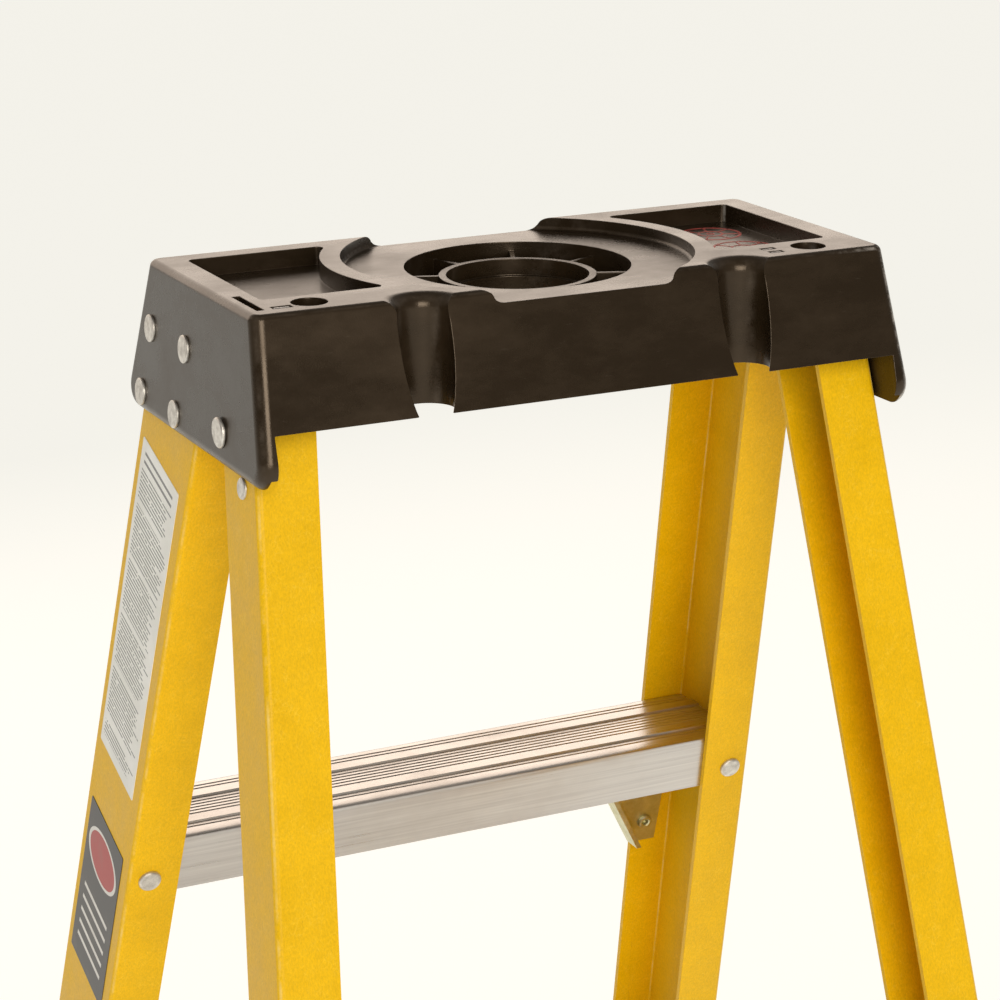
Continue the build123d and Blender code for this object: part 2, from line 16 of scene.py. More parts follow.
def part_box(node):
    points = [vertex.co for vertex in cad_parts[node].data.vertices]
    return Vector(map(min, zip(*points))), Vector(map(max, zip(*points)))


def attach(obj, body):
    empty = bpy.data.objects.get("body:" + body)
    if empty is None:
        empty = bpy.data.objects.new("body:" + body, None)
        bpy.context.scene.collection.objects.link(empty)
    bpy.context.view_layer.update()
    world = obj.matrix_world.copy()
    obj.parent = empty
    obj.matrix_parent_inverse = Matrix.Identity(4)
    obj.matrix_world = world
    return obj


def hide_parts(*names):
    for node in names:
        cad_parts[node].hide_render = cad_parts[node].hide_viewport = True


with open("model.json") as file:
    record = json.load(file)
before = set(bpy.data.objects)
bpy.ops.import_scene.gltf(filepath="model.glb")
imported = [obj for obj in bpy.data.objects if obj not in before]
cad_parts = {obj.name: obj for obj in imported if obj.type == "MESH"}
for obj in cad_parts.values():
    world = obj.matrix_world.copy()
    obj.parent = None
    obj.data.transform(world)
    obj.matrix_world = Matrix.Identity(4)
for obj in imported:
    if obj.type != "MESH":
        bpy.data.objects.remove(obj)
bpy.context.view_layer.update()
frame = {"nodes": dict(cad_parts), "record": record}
nodes = frame["nodes"]
print("measured parts:", len(nodes))

# %% [markdown]
# A few facts about the ladder are used again and again: where the cap is, how
# far the rails lean, and which way a rivet's head faces. They are read from
# the parts where that is possible, so a piece always lands where it should.

# %% Facts about the ladder
MM = 0.001
CAP_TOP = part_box("top_cap")[1].z
FRONT_LEAN, SPLAY = 0.31, 0.080      # how far the front rails lean, per drop
RAIL_X, FRONT_FACE = 149.2, 61.0     # outer web and front face at the top, mm
HINGE_BEHIND = 36.0                  # hinge pins behind the cap's middle, mm
pin_low, pin_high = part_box("hinge_pins")
CAP_MID_Y = (pin_low.y + pin_high.y) / 2 - HINGE_BEHIND * MM
print("cap top at", round(CAP_TOP, 4), "cap middle at y", round(CAP_MID_Y, 4))

# %% [markdown]
# Blender's operators act on whatever is selected. These small helpers keep
# that under control: pick one object, work in edit mode, and apply modifiers
# so that the finished mesh holds its own shape.

# %% Helpers for working by hand


def pick(obj):
    bpy.ops.object.select_all(action="DESELECT")
    obj.select_set(True)
    bpy.context.view_layer.objects.active = obj
    return obj


def in_edit(obj, *steps):
    """Run each step in edit mode with the whole mesh selected."""
    pick(obj)
    bpy.ops.object.mode_set(mode="EDIT")
    bpy.ops.mesh.select_all(action="SELECT")
    for step in steps:
        step()
    bpy.ops.object.mode_set(mode="OBJECT")
    return obj


def add_modifier(obj, kind, **values):
    pick(obj)
    m = obj.modifiers.new(kind.title(), kind)
    for name, value in values.items():
        setattr(m, name, value)
    bpy.ops.object.modifier_apply(modifier=m.name)


def settle(obj):
    """Put the place, turn and size of an object into its mesh."""
    pick(obj)
    bpy.ops.object.transform_apply(location=True, rotation=True, scale=True)
    return obj


def pull_up(height):
    """In edit mode: extrude what is selected straight up."""
    bpy.ops.mesh.extrude_region_move(TRANSFORM_OT_translate={"value": (0, 0, height)})


def select_faces(obj, test):
    """In edit mode: select only the faces whose centre and normal pass."""
    bpy.ops.mesh.select_all(action="DESELECT")
    bpy.ops.object.mode_set(mode="OBJECT")
    for f in obj.data.polygons:
        f.select = test(f.center, f.normal)
    bpy.ops.object.mode_set(mode="EDIT")


def joined(pieces, name):
    """Join the pieces into the first of them."""
    bpy.ops.object.select_all(action="DESELECT")
    for piece in pieces:
        piece.select_set(True)
    bpy.context.view_layer.objects.active = pieces[0]
    bpy.ops.object.join()
    whole = bpy.context.view_layer.objects.active
    whole.name = name
    return whole


def join_copies(obj, name, places):
    """Copy a modelled piece to each place (a matrix) and join the copies."""
    made = []
    for m in places:
        c = obj.copy()
        c.data = obj.data.copy()
        bpy.context.scene.collection.objects.link(c)
        c.data.transform(m)
        made.append(c)
    bpy.data.objects.remove(obj)
    return joined(made, name)


# %% [markdown]
# ## Camera
# The camera looks down a little with a long lens, so the rails look almost
# parallel. A camera can be aimed with a constraint, but this one is also held
# a little crooked, as by hand, so its three axes are worked out as vectors
# and set as one rotation.

# %% Camera
LENS = 2.877 * 36.0
YAW, PITCH, ROLL = 0.4401, 0.2900, -0.0118
ahead = Vector((-sin(YAW) * cos(PITCH), -cos(YAW) * cos(PITCH), -sin(PITCH)))
level = Vector((-cos(YAW), sin(YAW), 0.0))
upward = level.cross(ahead)
side = level * cos(ROLL) + upward * sin(ROLL)
top = upward * cos(ROLL) - level * sin(ROLL)
bpy.ops.object.camera_add(location=(0.5589, CAP_MID_Y + 1.1651, CAP_TOP + 0.2672))
camera = bpy.context.object
camera.data.lens = LENS
camera.data.clip_end = 200.0
turn = Matrix((side, top, -ahead)).transposed()
camera.rotation_euler = turn.to_euler()
bpy.context.scene.camera = camera
print("camera at", [round(v, 3) for v in camera.location])

# %% [markdown]
# ## Light and floor
# The ladder stands on a pale floor in soft warm light. Dark glossy plastic
# shows mostly what it mirrors, so a wide card stands far behind the ladder
# and gives the sheen on the flat top of the cap and on the treads. A key lamp
# hangs on the near side. The room lights the ladder only dimly, but seen
# directly it is a pale backdrop, and the Light Path node tells the two apart.

# %% Lights and floor
scene = bpy.context.scene
scene.view_settings.view_transform = "Standard"
world = bpy.data.worlds.new("dim_room")
scene.world = world
world.use_nodes = True
sky = world.node_tree.nodes["Background"]
sky.inputs["Color"].default_value = (1.0, 0.94, 0.86, 1.0)
sky.inputs["Strength"].default_value = 0.25
tree = world.node_tree
backdrop = tree.nodes.new("ShaderNodeBackground")
backdrop.inputs["Color"].default_value = (1.0, 0.98, 0.92, 1.0)
backdrop.inputs["Strength"].default_value = 0.90
path = tree.nodes.new("ShaderNodeLightPath")
either = tree.nodes.new("ShaderNodeMixShader")
tree.links.new(path.outputs["Is Camera Ray"], either.inputs[0])
tree.links.new(sky.outputs[0], either.inputs[1])
tree.links.new(backdrop.outputs[0], either.inputs[2])
tree.links.new(either.outputs[0], tree.nodes["World Output"].inputs["Surface"])


def lamp(name, place, aim, wide, high, watts, colour):
    bpy.ops.object.light_add(type="AREA", location=place)
    lit = bpy.context.object
    lit.name = name
    lit.data.shape = "RECTANGLE"
    lit.data.size = wide
    lit.data.size_y = high
    lit.data.energy = watts
    lit.data.color = colour
    lit.rotation_euler = (Vector(aim) - Vector(place)).to_track_quat("-Z", "Y").to_euler()
    return lit


lamp("back_card", (0.0, -4.8, 3.2), (0.0, 0.0, 1.7), 7.6, 3.0, 132.0, (1.0, 0.85, 0.72))
lamp("near_key", (0.9, 4.1, 3.1), (0.0, 0.0, 1.4), 2.2, 2.2, 118.0, (1.0, 0.95, 0.86))

bpy.ops.mesh.primitive_grid_add(x_subdivisions=8, y_subdivisions=8, size=90.0)
floor = bpy.context.object
floor.name = "floor"

# %% [markdown]
# ## Softened edges
# Real parts never have razor edges: a mould has a small radius, and a sawn or
# pressed edge is broken with a file. Each measured part is copied, its loose
# triangles are merged, flat areas are made single faces again, and a narrow
# bevel runs along every sharp edge that has room for it. Tiny edges leave no
# room, so an edge that ends in a crowd of them is left as it is, and any
# point that a bevel has thrown off the surface is put back.
# The copy then stands for the part.

# %% Copies with softened edges


def mark_clean_edges(piece, shortest):
    """Give bevel weight to the sharp edges that don't end in a crowd."""
    pick(piece)
    bpy.ops.object.mode_set(mode="EDIT")
    bpy.ops.mesh.select_mode(type="EDGE")
    bpy.ops.mesh.select_all(action="DESELECT")
    bpy.ops.mesh.edges_select_sharp(sharpness=radians(42.0))
    bpy.ops.object.mode_set(mode="OBJECT")
    points = piece.data.vertices
    crowded = set()
    for e in piece.data.edges:
        a, b = e.vertices
        if (points[a].co - points[b].co).length < shortest:
            crowded.update((a, b))
    weight = piece.data.attributes.new("bevel_weight_edge", "FLOAT", "EDGE")
    for e in piece.data.edges:
        clean = e.select and not crowded.intersection(e.vertices)
        weight.data[e.index].value = 1.0 if clean else 0.0


def softened(node, width_mm):
    source = nodes[node]
    piece = source.copy()
    piece.data = source.data.copy()
    for key in list(piece.keys()):
        del piece[key]
    piece.parent = None
    piece.name = node + "_finished"
    bpy.context.scene.collection.objects.link(piece)
    in_edit(piece,
            lambda: bpy.ops.mesh.customdata_custom_splitnormals_clear(),
            lambda: bpy.ops.mesh.remove_doubles(threshold=2e-5),
            lambda: bpy.ops.mesh.dissolve_limited(angle_limit=radians(0.3)))
    if width_mm:
        mark_clean_edges(piece, 0.4 * MM)
        add_modifier(piece, "BEVEL", width=width_mm * MM, segments=2,
                     limit_method="WEIGHT", use_clamp_overlap=False)
        for v in piece.data.vertices:
            found, near, n, i = source.closest_point_on_mesh(v.co)
            if found and (near - v.co).length > 0.75 * width_mm * MM:
                v.co = near
    pick(piece)
    bpy.ops.object.shade_smooth_by_angle(angle=radians(32.0))
    add_modifier(piece, "WEIGHTED_NORMAL", weight=100, keep_sharp=True)
    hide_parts(node)
    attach(piece, body_of[node])
    return piece


body_of = {n: b for b, ns in frame["record"]["behaviour"]["bodies"].items() for n in ns}
finished = {}
EDGE = {"top_cap": 0.4, "front_rail": 0.22, "rear_rail": 0.22, "step_": 0.12,
        "rear_bar": 0.2, "knee_braces": 0.12, "front_boot": 0.25,
        "rear_boot": 0.25, "front_pad": 0.4, "rear_pad": 0.4,
        "spreader_arm": 0.3, "spreader_bracket": 0.3, "hinge_plate_l": 0.2,
        "hinge_plate_r": 0.2}
HAND_MADE = ("cap_rivets", "knee_brace_rivets", "label_long", "label_short")
for node in sorted(nodes):
    if node in HAND_MADE:
        continue
    widths = [w for start, w in EDGE.items() if node.startswith(start)]
    small = "rivets" in node or "pins" in node
    finished[node] = softened(node, 0 if small or not widths else widths[0])
print("parts with softened edges:", len(finished))

# %% [markdown]
# ## Cap rivets
# Four flat-headed rivets on each side hold the front rails in the cap. The
# head is a disc with a rolled rim and a shallow ring left by the setting
# tool. It could be turned from an outline, but a cylinder is easier to change:
# insets step its face, the shank and its tail are pulled out of its back, and
# a bevel rounds every edge that is left.

# %% One cap rivet, then eight


def disc_rivet(radius, thick, shank, grip, tail, tail_t):
    """Rivet along +Z: the underside of its head is at the origin."""
    bpy.ops.mesh.primitive_cylinder_add(vertices=40, radius=radius, depth=thick,
                                        location=(0, 0, thick / 2))
    r = settle(bpy.context.object)
    pick(r)
    bpy.ops.object.mode_set(mode="EDIT")
    select_faces(r, lambda c, n: n.z > 0.9)
    bpy.ops.mesh.inset(thickness=radius * 0.12)
    bpy.ops.transform.translate(value=(0, 0, thick * 0.18))
    bpy.ops.mesh.inset(thickness=radius * 0.26)
    bpy.ops.transform.translate(value=(0, 0, -thick * 0.10))
    bpy.ops.mesh.inset(thickness=radius * 0.12)
    bpy.ops.transform.translate(value=(0, 0, thick * 0.09))
    bpy.ops.mesh.inset(thickness=radius * 0.30)
    bpy.ops.transform.translate(value=(0, 0, thick * 0.05))
    select_faces(r, lambda c, n: n.z < -0.9)
    bpy.ops.mesh.inset(thickness=radius - shank)
    pull_up(-grip)
    pull_up(-0.00002)
    bpy.ops.transform.resize(value=(tail / shank, tail / shank, 1.0))
    pull_up(-tail_t)
    bpy.ops.object.mode_set(mode="OBJECT")
    add_modifier(r, "BEVEL", width=thick * 0.22, segments=3, limit_method="ANGLE",
                 angle_limit=radians(50.0), use_clamp_overlap=True)
    pick(r)
    bpy.ops.object.shade_smooth_by_angle(angle=radians(40.0))
    return r


def facing(x, y, z, normal):
    """Matrix that stands a piece made along +Z on a surface."""
    turned = Vector(normal).to_track_quat("Z", "X").to_matrix().to_4x4()
    return Matrix.Translation((x, y, z)) @ turned


CAP_SIDE_X = 154.7 * MM
rivet_spots = [(-59.0, 30.7), (-13.0, 30.7), (-69.5, 62.5), (-23.5, 62.5)]
places = []
for dy, drop in rivet_spots:
    for s in (1, -1):
        x = s * (CAP_SIDE_X + SPLAY * drop * MM)
        places.append(facing(x, CAP_MID_Y + dy * MM, CAP_TOP - drop * MM, (s, 0, SPLAY)))
cap_rivets = join_copies(disc_rivet(6.3 * MM, 1.1 * MM, 3.1 * MM, 8.65 * MM, 3.5 * MM, 2.0 * MM),
                         "cap_rivets_set", places)
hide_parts("cap_rivets")
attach(cap_rivets, "front_frame")
print("cap rivets:", len(places))

# %% [markdown]
# ## Tubular brace rivets
# The knee braces are held by hollow rivets: a domed head outside and a rolled
# tube end inside. A tube end is a turned shape, so half of its outline is
# drawn as edges and spun once round the axis.

# %% A tubular rivet made by spinning its outline


def tubular_rivet(name, grip):
    """Along +Z, with the underside of the domed head at the origin."""
    outline = [(0.0, 1.5), (2.0, 1.4), (3.9, 0.9), (4.8, 0.2), (4.8, 0.0), (2.6, 0.0),
               (2.6, -grip), (4.0, -grip - 0.05), (4.2, -grip - 0.9), (3.7, -grip - 1.8),
               (2.7, -grip - 2.0), (1.9, -grip - 1.5), (1.6, -grip - 0.6), (1.6, -grip + 1.0),
               (0.0, -grip + 1.0)]
    mesh = bpy.data.meshes.new(name)
    mesh.from_pydata([(x * MM, 0.0, z * MM) for x, z in outline],
                     [(i, i + 1) for i in range(len(outline) - 1)], [])
    r = bpy.data.objects.new(name, mesh)
    bpy.context.scene.collection.objects.link(r)
    in_edit(r,
            lambda: bpy.ops.mesh.spin(steps=24, angle=2 * pi, center=(0, 0, 0), axis=(0, 0, 1)),
            lambda: bpy.ops.mesh.select_all(action="SELECT"),
            lambda: bpy.ops.mesh.remove_doubles(threshold=1e-6),
            lambda: bpy.ops.mesh.normals_make_consistent(inside=False))
    pick(r)
    bpy.ops.object.shade_smooth_by_angle(angle=radians(35.0))
    return r


STEP_PITCH, WALL = 292.0, 3.2
LOW_RIVET, HIGH_RIVET = 83.0, 20.5   # below the tread they brace, mm
front_normal = Vector((0, -1, FRONT_LEAN)).normalized()
level_to_square = cos(atan(FRONT_LEAN))


def front_face_y(drop):
    return CAP_MID_Y - (FRONT_FACE + FRONT_LEAN * drop) * MM


low_spots, high_spots = [], []
for k in range(5):
    tread = STEP_PITCH * (k + 1)
    inner = RAIL_X + SPLAY * tread - WALL - 0.8
    for s in (1, -1):
        d = tread + LOW_RIVET
        low_spots.append(facing(s * (inner - 9.5) * MM, front_face_y(d),
                                CAP_TOP - d * MM, front_normal))
        d = tread + HIGH_RIVET
        high_spots.append(facing(s * (inner - 40.0) * MM, front_face_y(d) + WALL * MM,
                                 CAP_TOP - d * MM, front_normal))
low_set = join_copies(tubular_rivet("tube_low", 5.4 * level_to_square),
                      "brace_rivets_low", low_spots)
high_set = join_copies(tubular_rivet("tube_high", 4.4 * level_to_square),
                       "brace_rivets_high", high_spots)
for part in (low_set, high_set):
    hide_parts("knee_brace_rivets")
    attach(part, "front_frame")
print("tubular rivets:", len(low_spots) + len(high_spots))

# %% [markdown]
# ## Marks printed in the tray
# One tray floor has two red printed rounds. They are kept plain here: a ring,
# a smaller ring and a few spokes, as thin raised ink. They could be a pattern
# in the plastic, but as geometry they keep crisp edges from any distance. Each
# ring starts as a circle that is extruded inwards and then given thickness.

# %% Two plain red rounds


def flat_ring(name, outer, inner, thick):
    bpy.ops.mesh.primitive_circle_add(vertices=64, radius=outer, fill_type="NOTHING")
    ring = bpy.context.object
    ring.name = name
    in_edit(ring,
            lambda: bpy.ops.mesh.extrude_region_move(),
            lambda: bpy.ops.transform.resize(value=(inner / outer, inner / outer, 1.0)),
            lambda: bpy.ops.mesh.select_all(action="SELECT"),
            lambda: bpy.ops.mesh.normals_make_consistent(inside=False),
            lambda: pull_up(thick),
            lambda: bpy.ops.mesh.select_all(action="SELECT"),
            lambda: bpy.ops.mesh.normals_make_consistent(inside=False))
    return ring


def spoke(turn, r0, r1, thick):
    bpy.ops.mesh.primitive_cube_add(size=1.0)
    bar = bpy.context.object
    bar.scale = (r1 - r0, 0.9 * MM, thick)
    bar.location = ((r0 + r1) / 2, 0, thick / 2)
    settle(bar)
    bar.data.transform(Matrix.Rotation(turn, 4, "Z"))
    return bar


def printed_round(radius, thick=0.12 * MM):
    parts = [flat_ring("ink", radius, radius - 1.3 * MM, thick),
             flat_ring("ink", radius * 0.42, radius * 0.42 - 1.1 * MM, thick)]
    parts += [spoke(2 * pi * k / 7, radius * 0.42, radius - 0.4 * MM, thick) for k in range(7)]
    parts += [flat_ring("ink", radius * 0.14, radius * 0.08, thick)]
    return joined(parts, "ink")


TRAY_FLOOR = CAP_TOP - (8.5 - 0.01) * MM   # just above, so the ink never flickers
marks = join_copies(printed_round(15.0 * MM), "tray_marks",
                    [Matrix.Translation((-118.0 * MM, CAP_MID_Y - 30.0 * MM, TRAY_FLOOR)),
                     Matrix.Translation((-116.0 * MM, CAP_MID_Y + 6.0 * MM, TRAY_FLOOR))])
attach(marks, "front_frame")
print("printed rounds:", len(marks.data.polygons), "faces")

# %% [markdown]
# ## Catches in the small slots
# Three little moulded catches fill the small slots of the rear rim. Only their
# tops are ever seen, so each is a cube whose top face is drawn in a little and
# whose edges are all rounded, and it reaches down to the floor of its slot.

# %% Three catches


def catch(length, width, tall):
    bpy.ops.mesh.primitive_cube_add(size=1.0)
    k = bpy.context.object
    k.scale = (length, width, tall)
    k.location = (0, 0, -tall / 2)
    settle(k)
    pick(k)
    bpy.ops.object.mode_set(mode="EDIT")
    select_faces(k, lambda c, n: n.z > 0.9)
    bpy.ops.transform.resize(value=(0.86, 0.80, 1.0))
    bpy.ops.object.mode_set(mode="OBJECT")
    add_modifier(k, "BEVEL", width=0.7 * MM, segments=3)
    pick(k)
    bpy.ops.object.shade_smooth_by_angle(angle=radians(50.0))
    return k


rear_rim = [(137.0, 56.0, 8.6, 3.7), (-103.5, 49.0, 6.7, 3.1), (-103.5, 56.5, 6.7, 3.1)]
catches = []
for x, y, long_side, short_side in rear_rim:
    k = catch(long_side * MM, short_side * MM, 5.0 * MM)
    k.data.transform(Matrix.Translation((x * MM, CAP_MID_Y + y * MM, CAP_TOP - 0.15 * MM)))
    catches.append(k)
catches = joined(catches, "slot_catches")
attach(catches, "front_frame")
print("slot catches:", len(rear_rim))

# %% [markdown]
# ## Printed plates on the rail
# A long pale plate and a short dark one are stuck to the outer web. Each is a
# plane whose corners are rounded and which is then given the thickness of a
# film, because two faces in the same place would flicker. It is made flat at
# the origin and then set on the web, square to the rail.

# %% The two plates
slant = (1 + FRONT_LEAN ** 2) ** 0.5
web_out = Vector((1, 0, SPLAY)).normalized()
DOWN = Vector((SPLAY, -FRONT_LEAN, -1)) / slant
ACROSS = Vector((SPLAY * FRONT_LEAN, 1, -FRONT_LEAN)) / slant


PLATE_INSET = 8.5                    # from the rail's front edge, mm


def plate_corner(drop):
    """Upper front corner of a plate that starts this far below the cap's top."""
    return Vector(((RAIL_X + SPLAY * drop) * MM,
                   front_face_y(drop) + PLATE_INSET * MM, CAP_TOP - drop * MM))


def film_plate(name, node, drop, width, length, thick=0.28):
    corner = plate_corner(drop)
    bpy.ops.mesh.primitive_plane_add(size=1.0)
    p = bpy.context.object
    p.name = name
    p.scale = (width * MM, length * MM, 1)
    settle(p)
    in_edit(p, lambda: bpy.ops.mesh.bevel(offset=1.0 * MM, segments=5, affect="VERTICES"),
            lambda: bpy.ops.mesh.select_all(action="SELECT"),
            lambda: pull_up(thick * MM),
            lambda: bpy.ops.mesh.select_all(action="SELECT"),
            lambda: bpy.ops.mesh.normals_make_consistent(inside=False))
    middle = corner + ACROSS * (width / 2 * MM) + DOWN * (length / 2 * MM)
    axes = Matrix((ACROSS.normalized(), -DOWN.normalized(), web_out)).transposed().to_4x4()
    p.data.transform(Matrix.Translation(middle) @ axes)
    p.data.update()
    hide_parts(node)
    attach(p, "front_frame")
    return p


LONG_DROP, SHORT_DROP, PLATE_WIDE = 86.4, 287.0, 52.3
plate_long = film_plate("plate_long", "label_long", LONG_DROP, PLATE_WIDE, 174.6)
plate_short = film_plate("plate_short", "label_short", SHORT_DROP, PLATE_WIDE, 96.0)
print("plates:", [p.name for p in (plate_long, plate_short)])

# %% [markdown]
# ## Finishes
# Every finish is built from nodes. Effects that several finishes share are
# node groups with their own inputs and outputs: worn edges, long drawn
# streaks, and the glass veil that shows through fibreglass.

# %% Small helpers for node trees


def socketed_group(name, inputs, outputs):
    g = bpy.data.node_groups.new(name, "ShaderNodeTree")
    for n, kind, value in inputs:
        s = g.interface.new_socket(name=n, in_out="INPUT", socket_type=kind)
        s.default_value = value
    for n, kind in outputs:
        g.interface.new_socket(name=n, in_out="OUTPUT", socket_type=kind)
    return g, g.nodes.new("NodeGroupInput"), g.nodes.new("NodeGroupOutput")


def math(tree, op, a, b=None, c=None, clamp=False):
    n = tree.nodes.new("ShaderNodeMath")
    n.operation = op
    n.use_clamp = clamp
    for i, v in enumerate((a, b, c)):
        if v is None:
            continue
        if isinstance(v, (int, float)):
            n.inputs[i].default_value = v
        else:
            tree.links.new(v, n.inputs[i])
    return n.outputs[0]


def ramp(tree, value, low, high, to_low=0.0, to_high=1.0):
    n = tree.nodes.new("ShaderNodeMapRange")
    n.inputs["From Min"].default_value = low
    n.inputs["From Max"].default_value = high
    n.inputs["To Min"].default_value = to_low
    n.inputs["To Max"].default_value = to_high
    tree.links.new(value, n.inputs["Value"])
    return n.outputs["Result"]


def noise(tree, vector, scale, detail=3.0, rough=0.55, out="Fac"):
    n = tree.nodes.new("ShaderNodeTexNoise")
    for key, value in (("Scale", scale), ("Detail", detail), ("Roughness", rough)):
        if isinstance(value, (int, float)):
            n.inputs[key].default_value = value
        else:
            tree.links.new(value, n.inputs[key])
    tree.links.new(vector, n.inputs["Vector"])
    return n.outputs[out]


def stretched(tree, vector, scale):
    n = tree.nodes.new("ShaderNodeMapping")
    n.inputs["Scale"].default_value = scale
    tree.links.new(vector, n.inputs["Vector"])
    return n.outputs["Vector"]


def mixed(tree, factor, a, b, mode="MIX"):
    n = tree.nodes.new("ShaderNodeMix")
    n.data_type = "RGBA"
    n.blend_type = mode
    pairs = ((0, factor), (6, a), (7, b))
    for i, v in pairs:
        if isinstance(v, (int, float)):
            n.inputs[i].default_value = v
        elif isinstance(v, tuple):
            n.inputs[i].default_value = (*v, 1.0) if len(v) == 3 else v
        else:
            tree.links.new(v, n.inputs[i])
    return n.outputs[2]


# %% [markdown]
# Worn edges: a rounded edge is where the surface faces neither squarely along
# X, Y nor Z. One minus the largest part of the normal is near zero on the
# flats and larger on the roundings, and noise breaks it into real scuffs.

# %% Group: worn edges
wear, gi, go = socketed_group("worn_edges",
                              [("Amount", "NodeSocketFloat", 0.5),
                               ("Scale", "NodeSocketFloat", 60.0),
                               ("Start", "NodeSocketFloat", 0.10)],
                              [("Mask", "NodeSocketFloat")])
coord = wear.nodes.new("ShaderNodeTexCoord")
parts = wear.nodes.new("ShaderNodeSeparateXYZ")
wear.links.new(coord.outputs["Normal"], parts.inputs[0])
biggest = math(wear, "MAXIMUM", math(wear, "ABSOLUTE", parts.outputs[0]),
               math(wear, "MAXIMUM", math(wear, "ABSOLUTE", parts.outputs[1]),
                    math(wear, "ABSOLUTE", parts.outputs[2])))
rounding = math(wear, "SUBTRACT", 1.0, biggest)
rounding = math(wear, "SUBTRACT", rounding, gi.outputs["Start"])
rounding = math(wear, "DIVIDE", rounding, 0.12, clamp=True)
patches = noise(wear, coord.outputs["Object"], gi.outputs["Scale"], 5.0, 0.7)
patches = ramp(wear, patches, 0.42, 0.68)
mask = math(wear, "MULTIPLY", rounding, patches)
mask = math(wear, "MULTIPLY", mask, gi.outputs["Amount"], clamp=True)
wear.links.new(mask, go.inputs["Mask"])
print("group made:", wear.name)

# %% [markdown]
# Drawn streaks: extruded and pultruded parts carry faint lines along their
# length, made where the hot material slides through the die. Noise that is
# squeezed across the part and stretched along it gives them.

# %% Group: drawn streaks
streaks, gi, go = socketed_group("drawn_streaks",
                                 [("Stretch", "NodeSocketVector", (1.0, 1.0, 1.0)),
                                  ("Scale", "NodeSocketFloat", 400.0)],
                                 [("Lines", "NodeSocketFloat"), ("Smudge", "NodeSocketFloat")])
coord = streaks.nodes.new("ShaderNodeTexCoord")
squeeze = streaks.nodes.new("ShaderNodeVectorMath")
squeeze.operation = "MULTIPLY"
streaks.links.new(coord.outputs["Object"], squeeze.inputs[0])
streaks.links.new(gi.outputs["Stretch"], squeeze.inputs[1])
lines = noise(streaks, squeeze.outputs[0], gi.outputs["Scale"], 4.0, 0.6)
streaks.links.new(lines, go.inputs["Lines"])
smudge = noise(streaks, coord.outputs["Object"], 22.0, 4.0, 0.6)
streaks.links.new(smudge, go.inputs["Smudge"])
print("group made:", streaks.name)

# %% [markdown]
# Glass veil: under the yellow resin lies a thin mat of glass fibres. Up close
# it shows as a tangle of short pale threads. The walls between the cells of a
# distorted Voronoi pattern make threads, and noise hides most of them.

# %% Group: glass veil
veil, gi, go = socketed_group("glass_veil",
                              [("Scale", "NodeSocketFloat", 260.0)],
                              [("Threads", "NodeSocketFloat"), ("Cloud", "NodeSocketFloat"),
                               ("Speck", "NodeSocketFloat")])
coord = veil.nodes.new("ShaderNodeTexCoord")
swirl = veil.nodes.new("ShaderNodeVectorMath")
swirl.operation = "MULTIPLY_ADD"
veil.links.new(noise(veil, coord.outputs["Object"], 90.0, 2.0, 0.5, "Color"), swirl.inputs[0])
swirl.inputs[1].default_value = (0.012, 0.012, 0.012)
veil.links.new(coord.outputs["Object"], swirl.inputs[2])
cells = veil.nodes.new("ShaderNodeTexVoronoi")
cells.feature = "DISTANCE_TO_EDGE"
veil.links.new(swirl.outputs[0], cells.inputs["Vector"])
veil.links.new(gi.outputs["Scale"], cells.inputs["Scale"])
threads = ramp(veil, cells.outputs["Distance"], 0.0, 0.07, 1.0, 0.0)
shown = ramp(veil, noise(veil, coord.outputs["Object"], 140.0, 3.0, 0.6), 0.46, 0.62)
veil.links.new(math(veil, "MULTIPLY", threads, shown, clamp=True), go.inputs["Threads"])
veil.links.new(noise(veil, coord.outputs["Object"], 30.0, 5.0, 0.65), go.inputs["Cloud"])
speck = noise(veil, coord.outputs["Object"], 900.0, 2.0, 0.5)
veil.links.new(ramp(veil, speck, 0.62, 0.74), go.inputs["Speck"])
print("group made:", veil.name)

# %% [markdown]
# Each finish is one material with one Principled shader. These helpers make
# it, place a shared group in it with that finish's own values, and turn a
# height into a small bump. The shader stays outside the groups, so that a
# group can be shared and the finish can still be baked.

# %% A material with its own Principled shader


def finish_named(name, metallic=0.0, rough=0.5, coat=0.0):
    m = bpy.data.materials.new(name)
    m.use_nodes = True
    t = m.node_tree
    shader = t.nodes["Principled BSDF"]
    shader.inputs["Metallic"].default_value = metallic
    shader.inputs["Roughness"].default_value = rough
    shader.inputs["Coat Weight"].default_value = coat
    return m, t, shader


def use_group(tree, group, **values):
    n = tree.nodes.new("ShaderNodeGroup")
    n.node_tree = group
    for k, v in values.items():
        n.inputs[k].default_value = v
    return n


def bumped(tree, shader, height, distance, strength=1.0):
    b = tree.nodes.new("ShaderNodeBump")
    b.inputs["Distance"].default_value = distance
    b.inputs["Strength"].default_value = strength
    tree.links.new(height, b.inputs["Height"])
    tree.links.new(b.outputs["Normal"], shader.inputs["Normal"])


# %% [markdown]
# Yellow fibreglass: a warm yellow resin, a little mottled, with pale threads
# and faint streaks along the rail, and edges rubbed paler where the glass
# shows. The gloss is soft, so the roughness follows the same mottling.

